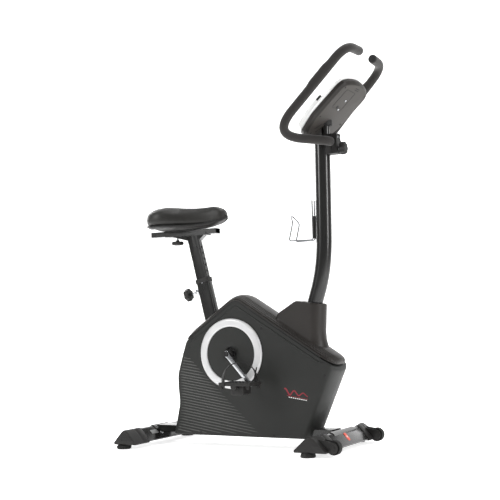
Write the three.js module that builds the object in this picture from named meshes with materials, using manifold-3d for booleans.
// Upright magnetic exercise bike, built as its separate pieces. Millimetres, +X towards the handlebar,
// +Y to the rider's left, +Z up. It is drawn about the crank axis (x = 0) and the floor (z = 0), and the
// finished group is moved so that its origin is the middle of its footprint.
import * as THREE from 'three';
import { mergeVertices } from 'three/addons/utils/BufferGeometryUtils.js';
import Module from 'manifold-3d';

const wasm = await Module();
wasm.setup();

// ---------------------------------------------------------------- driving sizes
const gap = 0.4;                    // air between pieces that touch
const running = 0.6;                // air around pieces that turn or slide
const crank = {
  z: 358, length: 150, tilt: -49, spindleRadius: 10, spindleHalf: 116, armInner: 104, armOuter: 117, hubHalf: 14,
  eyeHalf: 11.5,
};
const casing = { halfWidth: 75, wall: 3, crownFront: 23 };
const disc = { face: 7, ringOuter: 135, ringInner: 104, ringFace: 10, hubHole: 26 };
const stabiliser = { halfLength: 180, width: 96, bottom: 19, height: 51, wall: 2, frontX: 418, rearX: -388 };
const endCap = { start: 145, end: 250, wall: 3, frontX: 400, frontHalf: 60 };
const foot = { height: 15, halfTrack: 230, frontX: 388, frontRadius: 28, rearX: -401, rearRadius: 28 };
const wheel = { radius: 26, width: 25, x: 478, z: 34, halfTrack: 204, axleRadius: 4, earRadius: 20 };
const spine = { halfWidth: 44, bottom: 48, top: 74, wall: 2.5 };
const seatTube = { leanDeg: 13.5, x: -183.5, z: 740, depth: 56, width: 36, top: 655, post: [50, 30], postTop: 829,
  postBottom: 430, corner: 6, innerCorner: 3.6 };
const mastSize = { radius: 30, wall: 2, footZ: 440, topZ: 1166 };
const flywheel = { x: 222, z: 215, radius: 115, inner: -37, outer: -62, axleRadius: 8, pulleyRadius: 20 };
const belt = { inner: 37, outer: 49, pulleyRadius: 125, thickness: 2.5, clearance: 1.3 };
const bar = {
  clampX: 424, clampHalf: 48, z: 1144, tubeRadius: 13, tubeBore: 11, gripRadius: 17, gripBore: 14.4, clampReach: 20,
  rearReach: 120, topReach: 62, gripStart: 26,
};
const consoleSize = {
  x: 441, z: 1286, tiltDeg: 42, low: -157, high: 108, halfWidth: 118, back: 24, front: 16,
  podTop: 28, podHigh: -2,
};
const pedal = { inner: 137, outer: 242, length: 132, plate: 13, bore: 7.8, axleRadius: 7 };

const radians = Math.PI / 180;
const crankPin = {
  x: crank.length * Math.cos(crank.tilt * radians),
  z: crank.z + crank.length * Math.sin(crank.tilt * radians),
};

// ---------------------------------------------------------------- finishes
const finish = (color, roughness, metalness = 0) => new THREE.MeshStandardMaterial({ color, roughness, metalness });
const paint = finish(0x1c1c1d, 0.35, 0.4);
const casingPlastic = finish(0x2b2c2a, 0.55);
const coverPlastic = finish(0x3b3633, 0.6);
const capPlastic = finish(0x343331, 0.6);
const silverPlastic = finish(0xd4d2d0, 0.35, 0.3);
const chrome = finish(0xc9cbcc, 0.15, 1);
const steel = finish(0x9a9c9e, 0.4, 0.9);
const rubber = finish(0x151515, 0.9);
const foam = finish(0x2c2a29, 0.95);
const vinyl = finish(0x262523, 0.6);
const whitePlastic = finish(0xdfe1e1, 0.4);
const glassGrey = finish(0x5a6468, 0.1);
const magnetGrey = finish(0x6d6f70, 0.45, 0.7);

// ---------------------------------------------------------------- solids and simple shapes
function solid(geometry) {
  const bare = geometry.clone();
  for (const name of Object.keys(bare.attributes)) {
    if (name !== 'position') bare.deleteAttribute(name);
  }
  const merged = mergeVertices(bare, 1e-4);
  return new wasm.Manifold(new wasm.Mesh({
    numProp: 3,
    vertProperties: merged.attributes.position.array,
    triVerts: new Uint32Array(merged.index.array),
  }));
}

const join = (...parts) => parts.reduce((whole, part) => whole.add(part));
const cut = (whole, ...tools) => tools.reduce((rest, tool) => rest.subtract(tool), whole);

function box(x0, x1, y0, y1, z0, z1) {
  const geometry = new THREE.BoxGeometry(x1 - x0, y1 - y0, z1 - z0);
  return solid(geometry.translate((x0 + x1) / 2, (y0 + y1) / 2, (z0 + z1) / 2));
}

function cylinderY(radius, y0, y1, x, z, sides = 24) {
  const geometry = new THREE.CylinderGeometry(radius, radius, y1 - y0, sides);
  return solid(geometry.translate(x, (y0 + y1) / 2, z));
}

function cylinderZ(radius, z0, z1, x, y, sides = 24, topRadius = radius) {
  const geometry = new THREE.CylinderGeometry(topRadius, radius, z1 - z0, sides);
  return solid(geometry.rotateX(Math.PI / 2).translate(x, y, (z0 + z1) / 2));
}

function cylinderX(radius, x0, x1, y, z, sides = 24) {
  const geometry = new THREE.CylinderGeometry(radius, radius, x1 - x0, sides);
  return solid(geometry.rotateZ(Math.PI / 2).translate((x0 + x1) / 2, y, z));
}

// A ring or disc turned about the Y axis from [radius, y] points that close on themselves.
function turnedY(profile, x, z, sides) {
  const points = [...profile, profile[0]].map(([r, y]) => new THREE.Vector2(r, y));
  return outward(solid(new THREE.LatheGeometry(points, sides).translate(x, 0, z)));
}

function outward(body) {
  if (body.volume() > 0) return body;
  const mesh = body.getMesh();
  const flipped = Uint32Array.from(mesh.triVerts);
  for (let i = 0; i < flipped.length; i += 3) [flipped[i], flipped[i + 1]] = [flipped[i + 1], flipped[i]];
  return new wasm.Manifold(new wasm.Mesh({ numProp: 3, vertProperties: mesh.vertProperties, triVerts: flipped }));
}

function shapeOf(points) {
  return new THREE.Shape(points.map(([a, b]) => new THREE.Vector2(a, b)));
}

// An outline in x and z carried along Y from y0 to y1, with optional holes.
function plateXZ(points, y0, y1, holes = []) {
  const shape = shapeOf(points);
  for (const hole of holes) shape.holes.push(shapeOf(hole));
  const geometry = new THREE.ExtrudeGeometry(shape, { depth: y1 - y0, bevelEnabled: false });
  return solid(geometry.rotateX(Math.PI / 2).translate(0, y1, 0));
}

// An outline in x and y carried up from z0 to z1.
function plateXY(points, z0, z1) {
  const geometry = new THREE.ExtrudeGeometry(shapeOf(points), { depth: z1 - z0, bevelEnabled: false });
  return solid(geometry.translate(0, 0, z0));
}

function circlePoints(radius, x, z, sides) {
  return Array.from({ length: sides }, (_, i) => {
    const turn = (i / sides) * 2 * Math.PI;
    return [x + radius * Math.cos(turn), z + radius * Math.sin(turn)];
  });
}

function roundedRectangle(x0, x1, y0, y1, radius, steps = 4) {
  const corners = [[x1 - radius, y0 + radius, -90], [x1 - radius, y1 - radius, 0],
    [x0 + radius, y1 - radius, 90], [x0 + radius, y0 + radius, 180]];
  return corners.flatMap(([cx, cy, start]) => Array.from({ length: steps + 1 }, (_, i) => {
    const turn = (start + (90 * i) / steps) * radians;
    return [cx + radius * Math.cos(turn), cy + radius * Math.sin(turn)];
  }));
}

// A bent tube's centre line as the list of places where its section is drawn: few on the straights, more
// round each bend. reaches says how far each bend runs along the straights beside it.
function bent(points, reaches, steps) {
  const stations = [points[0]];
  for (let i = 1; i < points.length - 1; i += 1) {
    const corner = points[i];
    const before = new THREE.Vector3().subVectors(points[i - 1], corner);
    const after = new THREE.Vector3().subVectors(points[i + 1], corner);
    const start = corner.clone().addScaledVector(before.normalize(), reaches[i - 1]);
    const end = corner.clone().addScaledVector(after.normalize(), reaches[i - 1]);
    stations.push(...new THREE.QuadraticBezierCurve3(start, corner, end).getPoints(steps));
  }
  return [...stations, points[points.length - 1]];
}

// The curve through a list of stations, stepped through one station at a time.
class StationCurve extends THREE.Curve {
  constructor(stations) {
    super();
    this.stations = stations;
  }

  getPoint(share) {
    const place = Math.min(Math.max(share, 0), 1) * (this.stations.length - 1);
    const index = Math.min(Math.floor(place), this.stations.length - 2);
    return this.stations[index].clone().lerp(this.stations[index + 1], place - index);
  }

  getUtoTmapping(share) {
    return share;
  }
}

function sweep(stations, radius, sides, bore = 0) {
  const section = shapeOf(circlePoints(radius, 0, 0, sides));
  if (bore > 0) section.holes.push(shapeOf(circlePoints(bore, 0, 0, sides)));
  const settings = { steps: stations.length - 1, extrudePath: new StationCurve(stations), bevelEnabled: false };
  return outward(solid(new THREE.ExtrudeGeometry(section, settings)));
}

// Closed solid through a list of rings with equal point counts; each end ring is filled as a flat polygon
// whose two in-plane coordinates are given by flat(point), against the order that the side faces use.
function loft(rings, flat) {
  const count = rings[0].length;
  const positions = rings.flat().flatMap((p) => [p.x, p.y, p.z]);
  const faces = [];
  for (let r = 0; r < rings.length - 1; r += 1) {
    for (let i = 0; i < count; i += 1) {
      const a = r * count + i;
      const b = r * count + ((i + 1) % count);
      faces.push(a, b, b + count, a, b + count, a + count);
    }
  }
  const lid = (ring, first, reverse) => {
    const contour = ring.map(flat);
    const clockwise = THREE.ShapeUtils.isClockWise(contour);
    for (const [a, b, c] of THREE.ShapeUtils.triangulateShape(contour, [])) {
      const keep = clockwise === reverse;
      faces.push(first + a, first + (keep ? b : c), first + (keep ? c : b));
    }
  };
  const firstReverse = !THREE.ShapeUtils.isClockWise(rings[0].map(flat));
  lid(rings[0], 0, firstReverse);
  lid(rings[rings.length - 1], (rings.length - 1) * count, !firstReverse);
  const geometry = new THREE.BufferGeometry();
  geometry.setAttribute('position', new THREE.Float32BufferAttribute(positions, 3));
  geometry.setIndex(faces);
  return outward(solid(geometry));
}

const group = new THREE.Group();

function addPart(name, body, material) {
  const mesh = body.getMesh();
  const geometry = new THREE.BufferGeometry();
  geometry.setAttribute('position', new THREE.BufferAttribute(mesh.vertProperties, 3));
  geometry.setIndex(new THREE.BufferAttribute(mesh.triVerts, 1));
  geometry.computeVertexNormals();
  const part = new THREE.Mesh(geometry, material);
  part.name = name;
  group.add(part);
}

const mirrorY = (body) => body.mirror([0, 1, 0]);
const bothSides = [['right', (body) => body], ['left', mirrorY]];

// ---------------------------------------------------------------- stabilisers, end caps, feet, wheels
// Arched section of the floor tubes: flat below, nearly straight flanks, a rounded ridge.
function archSection(x, grow, halfWidth = stabiliser.width / 2) {
  const half = halfWidth + grow;
  const low = stabiliser.bottom - grow;
  const height = stabiliser.height + grow * 2;
  const ridge = 0.25;
  const steps = 12;
  const points = [[x - half + 3, low], [x + half - 3, low]];
  for (let i = 0; i <= steps; i += 1) {
    const share = 1 - (2 * i) / steps;
    const drop = (Math.hypot(share, ridge) - ridge) / (Math.hypot(1, ridge) - ridge);
    points.push([x + half * share, low + 5 + (height - 5) * (1 - drop)]);
  }
  return points;
}

function stabiliserTube(x) {
  return plateXZ(archSection(x, 0), -stabiliser.halfLength, stabiliser.halfLength, [archSection(x, -stabiliser.wall)]);
}

// A right-hand end cap: a sleeve over the tube, then a nose that runs out to its own end section.
function endCapBody(x, endX, endHalf) {
  const ring = (y, centre, grow, half) => archSection(centre, grow, half).map(([px, pz]) => new THREE.Vector3(px, y, pz));
  const sleeve = plateXZ(archSection(x, endCap.wall), -stabiliser.halfLength - 4, -endCap.start);
  const nose = loft([ring(-stabiliser.halfLength - 3.9, x, endCap.wall), ring(-endCap.end + 8, endX, endCap.wall - 1, endHalf),
    ring(-endCap.end, endX, endCap.wall - 5, endHalf)], (p) => new THREE.Vector2(p.x, p.z));
  const tube = plateXZ(archSection(x, gap), -stabiliser.halfLength - gap, -endCap.start + 1);
  return cut(join(sleeve, nose), tube);
}

const footDisc = (x, y, radius) => join(
  cylinderZ(radius - 3, 0, 4, x, y, 24, radius),
  cylinderZ(radius, 4, foot.height, x, y, 24, radius - 3),
);

// One side plate of the wheel fork: from the cap's ridge down to a round end about the axle.
function wheelEar(y0, y1) {
  const round = Array.from({ length: 13 }, (_, i) => {
    const turn = (70 - (150 * i) / 12) * radians;
    return [wheel.x + wheel.earRadius * Math.cos(turn), wheel.z + wheel.earRadius * Math.sin(turn)];
  });
  return plateXZ([[stabiliser.frontX, 66], ...round, [stabiliser.frontX + 20, 19]], y0, y1);
}

function frontCap() {
  const y = -wheel.halfTrack;
  const half = wheel.width / 2;
  const ears = join(wheelEar(y - half - 8, y - half - 3), wheelEar(y + half + 3, y + half + 8));
  const pocket = cylinderY(wheel.radius + 4, y - half - 3, y + half + 3, wheel.x, wheel.z, 28);
  const pin = cylinderY(wheel.axleRadius, y - half - 5, y + half + 5, wheel.x, wheel.z, 12);
  const pad = join(footDisc(foot.frontX, -foot.halfTrack, foot.frontRadius),
    cylinderZ(20, foot.height - 1, foot.height + 9, foot.frontX, -foot.halfTrack, 20));
  const body = cut(endCapBody(stabiliser.frontX, endCap.frontX, endCap.frontHalf), pocket);
  return join(body, ears, pin, pad);
}

function rearCap() {
  const stemHole = cylinderZ(6, 0, 48, foot.rearX, -foot.halfTrack, 16);
  return cut(endCapBody(stabiliser.rearX, stabiliser.rearX, stabiliser.width / 2), stemHole);
}

function levelFoot() {
  const stem = cylinderZ(5, foot.height - 1, 42, foot.rearX, -foot.halfTrack, 12);
  return join(footDisc(foot.rearX, -foot.halfTrack, foot.rearRadius), stem);
}

function transportWheel() {
  const half = wheel.width / 2;
  const bore = wheel.axleRadius + running;
  return turnedY([[bore, -half - 1], [12, -half - 1], [14, -half + 2], [wheel.radius - 6, -half + 1],
    [wheel.radius - 1, -half], [wheel.radius, -half + 3], [wheel.radius, half - 3], [wheel.radius - 1, half],
    [wheel.radius - 6, half - 1], [14, half - 2], [12, half + 1], [bore, half + 1]], wheel.x, wheel.z, 28)
    .translate([0, -wheel.halfTrack, 0]);
}

addPart('front_stabilizer', stabiliserTube(stabiliser.frontX), paint);
addPart('rear_stabilizer', stabiliserTube(stabiliser.rearX), paint);
for (const [side, place] of bothSides) {
  addPart(`front_end_cap_${side}`, place(frontCap()), capPlastic);
  addPart(`rear_end_cap_${side}`, place(rearCap()), capPlastic);
  addPart(`level_foot_${side}`, place(levelFoot()), rubber);
  addPart(`transport_wheel_${side}`, place(transportWheel()), rubber);
}

// ---------------------------------------------------------------- frame weldment
// Everything on the seat tube is drawn upright about its own axis, then leaned back.
const seatUp = new THREE.Vector3(-Math.sin(seatTube.leanDeg * radians), 0, Math.cos(seatTube.leanDeg * radians));
const onSeatAxis = (z) => seatTube.x + ((z - seatTube.z) / seatUp.z) * seatUp.x;

function leanedBox(depth, width, zLow, zHigh) {
  const length = (zHigh - zLow) / seatUp.z;
  const geometry = new THREE.BoxGeometry(depth, width, length);
  geometry.rotateY(-seatTube.leanDeg * radians);
  const middle = (zLow + zHigh) / 2;
  return solid(geometry.translate(onSeatAxis(middle), 0, middle));
}

// The same bar with its four long edges rounded.
function leanedBar(depth, width, zLow, zHigh, corner) {
  const length = (zHigh - zLow) / seatUp.z;
  const section = shapeOf(roundedRectangle(-depth / 2, depth / 2, -width / 2, width / 2, corner, 3));
  const geometry = new THREE.ExtrudeGeometry(section, { depth: length, bevelEnabled: false });
  geometry.translate(0, 0, -length / 2).rotateY(-seatTube.leanDeg * radians);
  const middle = (zLow + zHigh) / 2;
  return solid(geometry.translate(onSeatAxis(middle), 0, middle));
}

// The mast's centre line: leaning forward out of the frame, then bending upright.
const mastPoints = [[292.5, mastSize.footZ], [311, 498], [329, 554], [346, 606], [358, 655], [366, 705], [371, 765],
  [372.6, 830], [374, 930], [375.3, 1030], [376.6, mastSize.topZ]].map(([x, z]) => new THREE.Vector3(x, 0, z));
const mastFoot = mastPoints[0];
const mastLean = new THREE.Vector3().subVectors(mastPoints[1], mastFoot).normalize();
const alongMast = (z) => mastFoot.clone().addScaledVector(mastLean, (z - mastFoot.z) / mastLean.z);

function leanedPipe(radius, zLow, zHigh, sides = 24) {
  const length = (zHigh - zLow) / mastLean.z;
  const geometry = new THREE.CylinderGeometry(radius, radius, length, sides);
  geometry.rotateX(Math.PI / 2).rotateY(Math.atan2(mastLean.x, mastLean.z));
  const middle = alongMast((zLow + zHigh) / 2);
  return solid(geometry.translate(middle.x, 0, middle.z));
}

const idler = { x: 95.6, z: 192.5, radius: 18, pivotX: 60, pivotZ: 140 };
const brakePivot = { x: 180, z: 101 };
const bottomBracket = { outer: 27, bore: 23, right: -60, left: 33 };

// Bent plate that laps one floor tube's ridge and inner slope; inwards is the way towards the casing.
function saddlePlate(x, inwards, halfWidth) {
  const plate = plateXZ(archSection(x, gap + 4), -halfWidth, halfWidth);
  const outer = x - inwards * 16;
  const inner = x + inwards * 90;
  return plate.intersect(box(Math.min(outer, inner), Math.max(outer, inner), -120, 120, 26, 90));
}

const pin = { z: 612, headOffset: 74, headLength: 22, headRadius: 26, stemRadius: 5, stemEnd: 26.2 };

// A bar square to the seat tube behind it, measured outwards from the tube's axis.
function onPinAxis(radius, from, to, sides) {
  const geometry = new THREE.CylinderGeometry(radius, radius, to - from, sides);
  geometry.rotateZ(Math.PI / 2).translate(-(from + to) / 2, 0, 0).rotateY(-seatTube.leanDeg * radians);
  return solid(geometry.translate(onSeatAxis(pin.z), 0, pin.z));
}

function mainFrame() {
  const beam = box(stabiliser.rearX + 22, stabiliser.frontX - 22, -spine.halfWidth, spine.halfWidth, spine.bottom, spine.top);
  const tube = leanedBar(seatTube.depth, seatTube.width, spine.top - 8, seatTube.top, seatTube.corner);
  const stub = leanedPipe(mastSize.radius, spine.top - 4, mastSize.footZ - gap);
  const spigot = leanedPipe(mastSize.radius - mastSize.wall - 1, mastSize.footZ - 5, mastSize.footZ + 60);
  const bracket = cylinderY(bottomBracket.outer, bottomBracket.right, bottomBracket.left, 0, crank.z, 32);
  const gusset = box(-90, -18, -14, 14, crank.z - 16, crank.z + 18);
  const bearingTube = cylinderY(18, -33, 33, flywheel.x, flywheel.z, 24);
  const pinBoss = onPinAxis(12, seatTube.depth / 2 - 2, seatTube.depth / 2 + 14, 20);
  const idlerPost = join(box(52, 68, 14, 25, spine.top - 2, 150),
    cylinderY(5, 20, 34, idler.pivotX, idler.pivotZ, 16));
  const brakeEar = join(box(174, 186, -29, -21, spine.top - 4, 108), cylinderY(4, -68, -22, brakePivot.x, brakePivot.z, 16));
  const solidFrame = join(beam, tube, stub, spigot, bracket, gusset, bearingTube, pinBoss, idlerPost, brakeEar,
    saddlePlate(stabiliser.rearX, 1, 55), saddlePlate(stabiliser.frontX, -1, 100));
  const inside = spine.halfWidth - spine.wall;
  return cut(solidFrame,
    plateXZ(archSection(stabiliser.rearX, gap), -60, 60), plateXZ(archSection(stabiliser.frontX, gap), -110, 110),
    box(stabiliser.rearX, stabiliser.frontX, -inside, inside, spine.bottom + spine.wall, spine.top - spine.wall),
    leanedBar(seatTube.post[0] + 2 * running, seatTube.post[1] + 2 * running, spine.top - 6, seatTube.top + 10,
      seatTube.innerCorner),
    leanedPipe(mastSize.radius - 7, spine.top - 6, mastSize.footZ + 70),
    onPinAxis(pin.stemRadius + running, 10, seatTube.depth / 2 + 20, 16),
    cylinderY(bottomBracket.bore, bottomBracket.right - 1, bottomBracket.left + 1, 0, crank.z, 32),
    cylinderY(flywheel.axleRadius + running, -40, 40, flywheel.x, flywheel.z, 20));
}

addPart('main_frame', mainFrame(), paint);

// ---------------------------------------------------------------- casing
// Side outline of the casing with how far each corner bulges at the middle: x, z, bulge x, bulge z.
const casingOutline = [
  [-268, 43, -4, 0], [291, 41, 24, 0], [297, 50, casing.crownFront, 0], [410, 302, 15, -4], [413, 312, 8, 3],
  [412, 319, 2, 2], [36, 557, 0, 0], [20, 560, 0, 0], [3, 554, 0, 0], [-196, 418, 0, 0], [-206, 404, -4, 0],
  [-225, 348, -4, 0], [-246, 278, -4, 0], [-246, 226, -4, 0], [-240, 167, -4, 0],
];

// Moves every corner of a closed outline inwards by the given distance.
function inset(points, distance) {
  const area = THREE.ShapeUtils.area(points.map(([x, z]) => new THREE.Vector2(x, z)));
  const turn = Math.sign(area);
  return points.map(([x, z, bulgeX, bulgeZ], i) => {
    const [px, pz] = points[(i + points.length - 1) % points.length];
    const [nx, nz] = points[(i + 1) % points.length];
    const first = new THREE.Vector2(x - px, z - pz).normalize();
    const second = new THREE.Vector2(nx - x, nz - z).normalize();
    const normal = new THREE.Vector2(-(first.y + second.y), first.x + second.x).normalize();
    const spread = Math.max(0.4, normal.x * -first.y + normal.y * first.x);
    const step = (turn * distance) / spread;
    return [x + normal.x * step, z + normal.y * step, bulgeX, bulgeZ];
  });
}

function casingHalf() {
  const bands = [1, 0.97, 0.88, 0.7, 0.4, 0];
  const ring = (outline, halfWidth, share) => outline.map(([x, z, bulgeX, bulgeZ]) => {
    const bulge = Math.sqrt(1 - share * share);
    return new THREE.Vector3(x + bulgeX * bulge, -Math.max(halfWidth * share, gap), z + bulgeZ * bulge);
  });
  const outer = bands.map((share) => ring(casingOutline, casing.halfWidth, share));
  const innerOutline = inset(casingOutline, casing.wall);
  const inner = bands.map((share) => ring(innerOutline, casing.halfWidth - casing.wall, share));
  const tray = loft([...outer, ...inner.reverse()], (p) => new THREE.Vector2(p.x, p.z));
  const wider = spine.halfWidth + 1;
  return cut(tray,
    box(-330, 400, -wider, wider, spine.bottom - 1, spine.top + 1),
    leanedBox(seatTube.depth + 2, seatTube.width + 2, 380, 600),
    leanedPipe(mastSize.radius + 1, 300, 460),
    cylinderY(disc.hubHole, -casing.halfWidth - 5, 0, 0, crank.z, 32));
}

// The cover's route over the casing's upper edges, with its arch height at each station.
const coverStations = [[-197, 418, 5], [-188, 424, 16], [-165, 440, 23], [3, 554.5, 25], [20, 560, 25], [37, 557, 25],
  [60, 542.5, 25], [384, 337.5, 25], [398, 328.6, 20], [406, 323.5, 10]];
const coverLift = 1;

function coverRing(index, halfWidth, thinner) {
  const [x, z, arch] = coverStations[index];
  const [px, pz] = coverStations[Math.max(0, index - 1)];
  const [nx, nz] = coverStations[Math.min(coverStations.length - 1, index + 1)];
  const along = new THREE.Vector2(nx - px, nz - pz).normalize();
  const steps = 16;
  return Array.from({ length: steps + 1 }, (_, i) => {
    const turn = (i / steps) * Math.PI;
    const rise = coverLift + Math.max(arch - thinner, 1) * Math.sin(turn);
    return new THREE.Vector3(x - along.y * rise, halfWidth * Math.cos(turn), z + along.x * rise);
  });
}

const acrossStation = (p) => new THREE.Vector2(p.y, Math.hypot(p.x, p.z - crank.z));

function coverShell() {
  const rings = coverStations.map((_, i) => [
    ...coverRing(i, casing.halfWidth, 0), ...coverRing(i, casing.halfWidth - casing.wall, casing.wall).reverse()]);
  return cut(loft(rings, acrossStation),
    leanedBox(seatTube.depth + 2, seatTube.width + 2, 400, 600), leanedPipe(mastSize.radius + 1, 360, 470));
}

// The space that the cover takes up, for cutting what stands on it.
function coverSpace() {
  const rings = coverStations.map((_, i) => {
    const arch = coverRing(i, casing.halfWidth + gap, -gap);
    const last = arch[arch.length - 1];
    const below = (p) => new THREE.Vector3(p.x, p.y, p.z - 170);
    return [...arch, below(last), below(arch[0])];
  });
  return loft(rings, (p) => new THREE.Vector2(p.y, p.z));
}

const bootHalfWidth = 48;
const bootFront = 325;
const bootProfile = [[178, 380], [178, 498], [190, 508], [258, 549], [268, 552], [371, 537], [367, 480], [364, 432],
  [366, 405], [371, 384], [373, 330]];

function bootPlan(thinner) {
  const rear = roundedRectangle(178 + thinner, 340, -bootHalfWidth + thinner, bootHalfWidth - thinner, 22, 5);
  const front = cylinderZ(bootHalfWidth - thinner, 300, 600, bootFront, 0, 40);
  return join(plateXY(rear, 300, 600).intersect(box(100, bootFront, -60, 60, 290, 610)), front);
}

function mastCover() {
  const outer = plateXZ(bootProfile, -60, 60).intersect(bootPlan(0));
  const inner = plateXZ(inset(bootProfile, casing.wall).map(([x, z]) => [x, z]), -60, 60).intersect(bootPlan(casing.wall));
  return cut(outer, inner, coverSpace(), leanedPipe(mastSize.radius + 0.8, 480, 620));
}

for (const [side, place] of bothSides) addPart(`shell_${side}`, place(casingHalf()), casingPlastic);
addPart('top_cover', coverShell(), coverPlastic);
addPart('mast_cover', mastCover(), coverPlastic);

// Round side covers: a dark dished disc inside a bright ring.
function discCover() {
  const wall = -casing.halfWidth - gap;
  return turnedY([[disc.hubHole, wall], [disc.hubHole, wall - 3], [disc.hubHole + 14, wall - disc.face],
    [disc.ringInner - gap, wall - disc.face], [disc.ringInner - gap, wall]], 0, crank.z, 48);
}

function discRing() {
  const wall = -casing.halfWidth - gap;
  return turnedY([[disc.ringInner, wall], [disc.ringInner, wall - disc.face - 1], [disc.ringInner + 4, wall - disc.ringFace],
    [disc.ringOuter - 6, wall - disc.ringFace], [disc.ringOuter, wall - disc.ringFace + 5], [disc.ringOuter, wall]],
  0, crank.z, 56);
}

for (const [side, place] of bothSides) {
  addPart(`disc_cover_${side}`, place(discCover()), casingPlastic);
  addPart(`disc_ring_${side}`, place(discRing()), silverPlastic);
}

// ---------------------------------------------------------------- crankset and pedals
function crankArm() {
  const points = [];
  const direction = crank.tilt * radians;
  const place = (along, across) => [along * Math.cos(direction) - across * Math.sin(direction),
    crank.z + along * Math.sin(direction) + across * Math.cos(direction)];
  for (let i = 0; i <= 10; i += 1) {
    const turn = (90 + 18 * i) * radians;
    points.push(place(crank.hubHalf * Math.cos(turn), crank.hubHalf * Math.sin(turn)));
  }
  for (let i = 0; i <= 10; i += 1) {
    const turn = (-90 + 18 * i) * radians;
    points.push(place(crank.length + crank.eyeHalf * Math.cos(turn), crank.eyeHalf * Math.sin(turn)));
  }
  const arm = plateXZ(points, -crank.armOuter, -crank.armInner);
  const boss = cylinderY(crank.hubHalf + 2, -crank.armOuter - 3, -crank.armInner + 12, 0, crank.z, 28);
  return cut(join(arm, boss),
    cylinderY(crank.spindleRadius + gap, -crank.armOuter - 4, 0, 0, crank.z, 24),
    cylinderY(pedal.axleRadius + gap, -crank.armOuter - 5, 0, crankPin.x, crankPin.z, 16));
}

function drivePulley() {
  const { inner, outer, pulleyRadius } = belt;
  return turnedY([[crank.spindleRadius + gap, inner - 1], [24, inner - 1], [24, inner + 4], [pulleyRadius - 12, inner + 4],
    [pulleyRadius - 12, inner - 0.5], [pulleyRadius, inner - 0.5], [pulleyRadius, outer + 0.5],
    [pulleyRadius - 12, outer + 0.5], [pulleyRadius - 12, inner + 8], [24, inner + 8], [24, outer + 6],
    [crank.spindleRadius + gap, outer + 6]], 0, crank.z, 36);
}

const bearing = (y0, y1) => turnedY([[crank.spindleRadius + gap, y0], [bottomBracket.bore - gap, y0],
  [bottomBracket.bore - gap, y1], [crank.spindleRadius + gap, y1]], 0, crank.z, 32);

// Foot plate with a rim, its axle housing and the weight below that keeps it level.
function pedalBody() {
  const half = pedal.length / 2;
  const plan = roundedRectangle(crankPin.x - half, crankPin.x + half, -pedal.outer, -pedal.inner, 10, 3);
  const plate = plateXY(plan, crankPin.z + 1, crankPin.z + pedal.plate);
  const housing = cylinderY(12, -pedal.outer + 2, -pedal.inner, crankPin.x, crankPin.z, 20);
  const weight = box(crankPin.x - 22, crankPin.x + 30, -pedal.outer + 22, -pedal.inner - 22, crankPin.z - 34, crankPin.z + 3);
  const windows = [-1, 1].flatMap((end) => [-1, 1].map((row) => box(
    crankPin.x + end * 38 - 16, crankPin.x + end * 38 + 16,
    -(pedal.outer + pedal.inner) / 2 + row * 24 - 14, -(pedal.outer + pedal.inner) / 2 + row * 24 + 14,
    crankPin.z, crankPin.z + pedal.plate + 1)));
  return cut(join(plate, housing, weight), ...windows,
    cylinderY(pedal.bore, -pedal.outer + 8, -pedal.inner + 1, crankPin.x, crankPin.z, 20));
}

// The foot strap: a thin band arching from the outer rear corner to the inner front corner.
function pedalStrap() {
  const half = 64;
  const rise = 72;
  const band = 2.4;
  const width = 30;
  const foot0 = pedal.plate + gap;
  const arch = (grow) => Array.from({ length: 19 }, (_, i) => {
    const turn = (i / 18) * Math.PI;
    return [-(half + grow) * Math.cos(turn), foot0 + (rise + grow) * Math.sin(turn) ** 0.8];
  });
  const outline = [...arch(0), ...arch(-band).reverse()];
  const geometry = new THREE.ExtrudeGeometry(shapeOf(outline), { depth: width, bevelEnabled: false });
  geometry.rotateX(Math.PI / 2).translate(0, width / 2, 0).rotateZ(41 * radians);
  return outward(solid(geometry.translate(crankPin.x, -(pedal.outer + pedal.inner) / 2, crankPin.z)));
}

addPart('crank_spindle', cylinderY(crank.spindleRadius, -crank.spindleHalf, crank.spindleHalf, 0, crank.z, 24), steel);
addPart('drive_pulley', drivePulley(), casingPlastic);
addPart('crank_bearing_right', bearing(bottomBracket.right + 2, bottomBracket.right + 16), steel);
addPart('crank_bearing_left', bearing(bottomBracket.left - 16, bottomBracket.left - 2), steel);

// The left crank points the opposite way to the right one.
const halfTurn = (body) => mirrorY(body).translate([0, 0, -crank.z]).rotate([0, 180, 0]).translate([0, 0, crank.z]);
const acrossCrank = (body) => mirrorY(body).translate([-2 * crankPin.x, 0, 2 * (crank.z - crankPin.z)]);
const crankSides = [['right', (body) => body, (body) => body], ['left', halfTurn, acrossCrank]];
for (const [side, turnPlace, levelPlace] of crankSides) {
  addPart(`crank_arm_${side}`, turnPlace(crankArm()), chrome);
  const axle = cylinderY(pedal.axleRadius, -pedal.outer + 12, -crank.armInner - 2, crankPin.x, crankPin.z, 16);
  addPart(`pedal_axle_${side}`, levelPlace(axle), steel);
  addPart(`pedal_${side}`, levelPlace(pedalBody()), rubber);
  addPart(`pedal_strap_${side}`, levelPlace(pedalStrap()), rubber);
}

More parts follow.
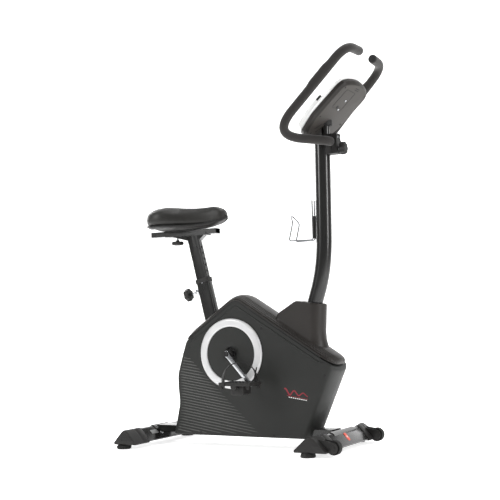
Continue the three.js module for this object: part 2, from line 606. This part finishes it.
// ---------------------------------------------------------------- drive inside the casing
function beltLoop() {
  const centres = [[0, crank.z, belt.pulleyRadius], [flywheel.x, flywheel.z, flywheel.pulleyRadius]];
  const span = Math.hypot(flywheel.x, flywheel.z - crank.z);
  const slope = Math.atan2(flywheel.z - crank.z, flywheel.x);
  const lean = Math.acos((belt.pulleyRadius - flywheel.pulleyRadius) / span);
  const loop = (grow) => centres.flatMap(([x, z, radius], i) => {
    const start = i === 0 ? lean : -lean;
    const sweepAngle = i === 0 ? 2 * Math.PI - 2 * lean : 2 * lean;
    const steps = i === 0 ? 30 : 10;
    return Array.from({ length: steps + 1 }, (_, k) => {
      const turn = slope + start + (sweepAngle * k) / steps;
      return [x + (radius + grow) * Math.cos(turn), z + (radius + grow) * Math.sin(turn)];
    });
  });
  const outer = loop(belt.clearance + belt.thickness);
  return plateXZ(outer, belt.inner, belt.outer, [loop(belt.clearance)]);
}

function flywheelDisc() {
  const { inner, outer, radius, axleRadius } = flywheel;
  return turnedY([[axleRadius + gap, outer - 4], [24, outer - 4], [24, outer + 7], [radius - 22, outer + 7],
    [radius - 22, outer], [radius, outer], [radius, inner], [radius - 22, inner], [radius - 22, inner - 7],
    [24, inner - 7], [24, inner + 1], [axleRadius + gap, inner + 1]], flywheel.x, flywheel.z, 36);
}

const flywheelAxle = () => turnedY([[0, flywheel.outer - 8], [flywheel.axleRadius, flywheel.outer - 8],
  [flywheel.axleRadius, belt.inner - 1], [flywheel.pulleyRadius, belt.inner - 1],
  [flywheel.pulleyRadius, belt.outer + 1], [6, belt.outer + 1], [6, belt.outer + 6], [0, belt.outer + 6]],
flywheel.x, flywheel.z, 28);

function idlerArm() {
  const reach = Math.hypot(idler.x - idler.pivotX, idler.z - idler.pivotZ);
  const turn = Math.atan2(idler.z - idler.pivotZ, idler.x - idler.pivotX);
  const ends = [[0, 9, 90], [reach, 8, -90]];
  const points = ends.flatMap(([along, radius, start]) => Array.from({ length: 9 }, (_, i) => {
    const angle = (start + 22.5 * i) * radians;
    const a = along + radius * Math.cos(angle);
    const b = radius * Math.sin(angle);
    return [idler.pivotX + a * Math.cos(turn) - b * Math.sin(turn), idler.pivotZ + a * Math.sin(turn) + b * Math.cos(turn)];
  }));
  return cut(join(plateXZ(points, 27, 33), cylinderY(4, 32, belt.outer + 2, idler.x, idler.z, 16)),
    cylinderY(5 + running, 20, 40, idler.pivotX, idler.pivotZ, 20));
}

const idlerWheel = () => turnedY([[4 + running, belt.inner - 1], [idler.radius, belt.inner - 1],
  [idler.radius, belt.outer + 1], [4 + running, belt.outer + 1]], idler.x, idler.z, 28);

// Brake bracket: an arc of steel that carries the magnets round part of the flywheel's rim.
function magnetBracket() {
  const inner = flywheel.radius + 4;
  const outer = inner + 7;
  const first = 188;
  const last = 248;
  const arc = (radius) => Array.from({ length: 13 }, (_, i) => {
    const turn = (first + ((last - first) * i) / 12) * radians;
    return [flywheel.x + radius * Math.cos(turn), flywheel.z + radius * Math.sin(turn)];
  });
  const channel = plateXZ([...arc(outer), ...arc(inner).reverse()], flywheel.outer - 3, flywheel.inner + 3);
  const lug = cylinderY(9, flywheel.outer - 3, flywheel.inner + 3, brakePivot.x, brakePivot.z, 20);
  const clearRim = cylinderY(inner - 0.5, flywheel.outer - 5, flywheel.inner + 5, flywheel.x, flywheel.z, 56);
  return cut(join(channel, lug), clearRim,
    cylinderY(4 + running, flywheel.outer - 6, flywheel.inner + 6, brakePivot.x, brakePivot.z, 20));
}

addPart('drive_belt', beltLoop(), rubber);
addPart('flywheel', flywheelDisc(), magnetGrey);
addPart('flywheel_axle', flywheelAxle(), steel);
addPart('idler_arm', idlerArm(), steel);
addPart('idler_wheel', idlerWheel(), steel);
addPart('magnet_bracket', magnetBracket(), magnetGrey);
const motorBody = join(box(76, 132, -20, 20, spine.top + gap, spine.top + 30), cylinderZ(14, spine.top + 29, spine.top + 42, 104, 0, 24));
addPart('tension_motor', motorBody, casingPlastic);

// ---------------------------------------------------------------- seat
const rail = { rear: -400, front: -91, bottom: 834, top: 855, halfWidth: 18 };
const carrier = { rear: -330, front: -136, wall: 3 };

function seatPost() {
  const [depth, width] = seatTube.post;
  const post = leanedBar(depth, width, seatTube.postBottom, seatTube.postTop, seatTube.innerCorner);
  const tray = box(carrier.rear, carrier.front, -rail.halfWidth - gap - carrier.wall, rail.halfWidth + gap + carrier.wall,
    rail.bottom - gap - carrier.wall, rail.bottom + 9);
  const gusset = plateXZ([[-300, 831], [-150, 831], [-172, 812], [-228, 812]], -13, 13);
  const channel = box(carrier.rear - 1, carrier.front + 1, -rail.halfWidth - gap, rail.halfWidth + gap,
    rail.bottom - gap, rail.top);
  const holes = Array.from({ length: 8 }, (_, i) => {
    const z = seatTube.postTop - 45 - i * 24;
    return cylinderX(5, onSeatAxis(z) + 10, onSeatAxis(z) + 60, 0, z, 12);
  });
  const hollow = leanedBar(depth - 5, width - 5, seatTube.postBottom - 5, seatTube.postTop - 12, 2);
  const stemHole = cylinderZ(6, 800, 840, -282, 0, 16);
  return cut(join(post, tray, gusset), channel, hollow, ...holes, stemHole);
}

function seatRail() {
  const tube = box(rail.rear, rail.front, -rail.halfWidth, rail.halfWidth, rail.bottom, rail.top);
  const bore = box(rail.rear - 1, rail.front + 1, -rail.halfWidth + 2, rail.halfWidth - 2, rail.bottom + 2, rail.top - 2);
  const slot = box(-330, -235, -6, 6, rail.bottom - 1, rail.bottom + 3);
  const clamp = box(-300, -190, -26, 26, rail.top - 1, 861);
  return join(cut(tube, bore, slot), clamp);
}

// Padded saddle, broad at the back and drawn out to a nose: x, half-width, underside and top of each section.
const saddleSections = [[-389, 30, 882, 912], [-385, 62, 872, 927], [-372, 95, 865, 940], [-345, 116, 862, 948],
  [-310, 122, 862, 949], [-268, 110, 862, 945], [-225, 85, 862, 940], [-175, 60, 863, 937], [-125, 44, 867, 938],
  [-85, 36, 875, 939], [-58, 27, 884, 930], [-46, 12, 894, 914]];

function saddle() {
  const sides = 20;
  const bend = (value) => Math.sign(value) * Math.abs(value) ** 0.75;
  const rings = saddleSections.map(([x, halfWidth, low, high]) => Array.from({ length: sides }, (_, i) => {
    const turn = (i / sides) * 2 * Math.PI;
    return new THREE.Vector3(x, halfWidth * bend(Math.cos(turn)), (low + high) / 2 + ((high - low) / 2) * bend(Math.sin(turn)));
  }));
  return loft(rings, (p) => new THREE.Vector2(p.y, p.z));
}

// Hand knob: a lobed head on a stem, drawn along Z with the stem upwards.
function lobedKnob(radius, height, stemRadius, stemLength, lobes) {
  const count = lobes * 6;
  const points = Array.from({ length: count }, (_, i) => {
    const turn = (i / count) * 2 * Math.PI;
    const reach = radius * (0.92 + 0.08 * Math.cos(lobes * turn));
    return [reach * Math.cos(turn), reach * Math.sin(turn)];
  });
  return join(plateXY(points, -height, 0), cylinderZ(stemRadius + 3, -1, 6, 0, 0, 16),
    cylinderZ(stemRadius, 5, stemLength, 0, 0, 16));
}

const slideKnob = () => lobedKnob(26, 15, 4.5, 24, 6).translate([-282, 0, 812]);

// Spring pin knob on the back of the seat tube, square to it.
function seatPinKnob() {
  const stem = pin.headOffset - pin.stemEnd;
  const knob = lobedKnob(pin.headRadius, pin.headLength, pin.stemRadius, stem, 6).rotate([0, 90 - seatTube.leanDeg, 0]);
  return knob.translate([onSeatAxis(pin.z) - pin.headOffset * seatUp.z, 0, pin.z + pin.headOffset * seatUp.x]);
}

addPart('seat_post', seatPost(), paint);
addPart('seat_rail', seatRail(), paint);
addPart('saddle', saddle(), vinyl);
addPart('seat_slide_knob', slideKnob(), capPlastic);
addPart('seat_pin_knob', seatPinKnob(), capPlastic);

// ---------------------------------------------------------------- mast, console and handlebar
function mast() {
  const outer = sweep(mastPoints, mastSize.radius, 24);
  const inner = leanedPipe(mastSize.radius - mastSize.wall, mastSize.footZ - 10, mastSize.footZ + 66);
  const borePoints = mastPoints.slice(1, -1).concat([new THREE.Vector3(376.5, 0, mastSize.topZ - 4)]);
  const bore = sweep(borePoints, mastSize.radius - mastSize.wall, 24);
  return cut(outer, inner, bore);
}

const upright = { x: 392, radius: 15 };

// The console is drawn flat: u up its slope, y across, w out towards the rider, then tilted into place.
const consoleTurn = -consoleSize.tiltDeg;
const placeConsole = (body) => body.rotate([0, consoleTurn, 0]).translate([consoleSize.x, 0, consoleSize.z]);

function consoleOutline(grow) {
  const { low, high, halfWidth } = consoleSize;
  const half = halfWidth + grow;
  const right = [[low - grow, -half * 0.62], [low - grow + 14, -half * 0.76], [-70, -half], [high - 34, -half],
    [high - 12 + grow * 0.6, -half * 0.9], [high + grow, -half * 0.68], [high + 9 + grow, -half * 0.34]];
  return [...right, [high + 12 + grow, 0], ...right.map(([u, y]) => [u, -y]).reverse()];
}

const pocket = { halfWidth: 44, high: -22, depth: 19 };

function consoleBack() {
  const { back } = consoleSize;
  const body = join(plateXY(consoleOutline(0), -back + 6, 0), plateXY(consoleOutline(-7), -back, -back + 7));
  const hollow = plateXY(consoleOutline(-12), -4, 1);
  const recess = box(-200, pocket.high, -pocket.halfWidth, pocket.halfWidth, -back - 5, -back + pocket.depth);
  return placeConsole(cut(body, hollow, recess));
}

const lens = { low: 12, high: 92, halfWidth: 76 };
const buttonAt = [-64, -22, 22, 64];
const button = { u: -92, length: 20, width: 26 };

function consoleFront() {
  const { front, podTop, podHigh } = consoleSize;
  const pod = plateXY(consoleOutline(-3), 7, podTop).intersect(box(-200, podHigh, -200, 200, 0, podTop + 1));
  const body = join(plateXY(consoleOutline(2), gap, 8), plateXY(consoleOutline(-5), 7, front), pod);
  const window_ = box(lens.low - gap, lens.high + gap, -lens.halfWidth - gap, lens.halfWidth + gap, front - 5, front + 2);
  const wells = buttonAt.map((y) => box(button.u - button.length / 2 - running, button.u + button.length / 2 + running,
    y - button.width / 2 - running, y + button.width / 2 + running, podTop - 9, podTop + 2));
  const hollow = plateXY(consoleOutline(-12), 0, 5);
  return placeConsole(cut(body, window_, ...wells, hollow));
}

const consoleLens = () => placeConsole(box(lens.low, lens.high, -lens.halfWidth, lens.halfWidth, 11.5, 15));
const consoleButton = (y) => placeConsole(box(button.u - button.length / 2, button.u + button.length / 2,
  y - button.width / 2, y + button.width / 2, consoleSize.podTop - 5, consoleSize.podTop + 3));

// Upright tube from the mast's top plate to a fixing plate in the console's back.
function consoleBracket() {
  const tube = cylinderZ(upright.radius, mastSize.topZ + gap, 1290, upright.x, 0, 24);
  const depth = -consoleSize.back + pocket.depth;
  const above = placeConsole(box(-300, 300, -200, 200, depth - 4, 400));
  const plate = placeConsole(box(-118, -34, -36, 36, depth - 4.5, depth - 0.5));
  return join(cut(tube, above), plate);
}

// Pinch clamp for the handlebar: a rear block on the mast and a front plate held by a bolt and the knob.
const clampSize = { low: 1100, high: 1176, halfWidth: 20, rear: 384, front: 444 };

function barBore(grow) {
  return cylinderY(bar.tubeRadius + grow, -60, 60, bar.clampX, bar.z, 24);
}

function clampBlock() {
  const block = box(clampSize.rear, bar.clampX - 0.8, -clampSize.halfWidth, clampSize.halfWidth, clampSize.low, clampSize.high);
  return cut(block, barBore(running), cylinderZ(mastSize.radius + gap + 0.4, 1000, mastSize.topZ + gap, 376.6, 0, 32),
    cylinderZ(upright.radius + gap, 1100, 1200, upright.x, 0, 28));
}

const tiltKnobZ = 1119;

function clampPlate() {
  const block = box(bar.clampX + 0.8, clampSize.front, -clampSize.halfWidth, clampSize.halfWidth, clampSize.low, clampSize.high);
  return cut(block, barBore(running), cylinderX(6, bar.clampX, clampSize.front + 5, 0, tiltKnobZ, 16));
}

const tiltKnob = () => lobedKnob(24, 22, 4.5, 26, 8).rotate([0, -90, 0]).translate([clampSize.front + 8, 0, tiltKnobZ]);

// Half of the bent bar: from the clamp out and back, up the grip, then in at the top.
function barHalf(side, first) {
  const corners = [first, [266, 205, bar.z + 12], [562, 182, 1454], [566, 62, 1458]];
  return corners.map(([x, y, z]) => new THREE.Vector3(x, side * y, z));
}

function handlebar() {
  const clampEnd = [bar.clampX, bar.clampHalf, bar.z];
  const reaches = [bar.topReach, bar.rearReach, bar.clampReach];
  const route = [...barHalf(-1, clampEnd).reverse(), ...barHalf(1, clampEnd)];
  return sweep(bent(route, [...reaches, ...reaches.toReversed()], 6), bar.tubeRadius, 12, bar.tubeBore);
}

// Foam sleeve over one half of the bar, starting clear of the clamp.
function grip(side) {
  const start = new THREE.Vector3(bar.clampX, side * bar.gripStart, bar.z);
  const corners = [start, ...barHalf(side, [bar.clampX, bar.clampHalf, bar.z])];
  const stations = bent(corners, [bar.clampReach, bar.rearReach, bar.topReach], 6);
  const tip = stations.pop();
  return sweep([...stations, tip.setY(tip.y - side * 2)], bar.gripRadius, 12, bar.gripBore);
}

addPart('mast', mast(), paint);
addPart('console_bracket', consoleBracket(), paint);
addPart('console_back', consoleBack(), casingPlastic);
addPart('console_front', consoleFront(), whitePlastic);
addPart('console_lens', consoleLens(), glassGrey);
buttonAt.forEach((y, i) => addPart(`console_button_${i + 1}`, consoleButton(y), rubber));
addPart('clamp_block', clampBlock(), paint);
addPart('clamp_plate', clampPlate(), paint);
addPart('tilt_knob', tiltKnob(), capPlastic);
addPart('handlebar', handlebar(), paint);
addPart('grip_right', grip(-1), foam);
addPart('grip_left', grip(1), foam);

// ---------------------------------------------------------------- bottle cage
function bottleCage() {
  const wire = 2.6;
  const half = [[331, 10, 932], [331, 10, 781], [240, 30, 781], [257, 30, 850], [240, 9, 877]];
  const points = [...half, ...half.map(([x, y, z]) => [x, -y, z]).reverse()].map(([x, y, z]) => new THREE.Vector3(x, y, z));
  const cage = sweep(bent(points, points.map(() => 10), 3), wire, 6);
  return join(cage, box(329, 338.5, -13, 13, 785, 872));
}

addPart('bottle_cage', bottleCage(), chrome);

// ---------------------------------------------------------------- origin at the middle of the footprint
const bounds = new THREE.Box3().setFromObject(group);
const middle = bounds.getCenter(new THREE.Vector3());
group.position.set(-middle.x, -middle.y, -bounds.min.z);

export default group;
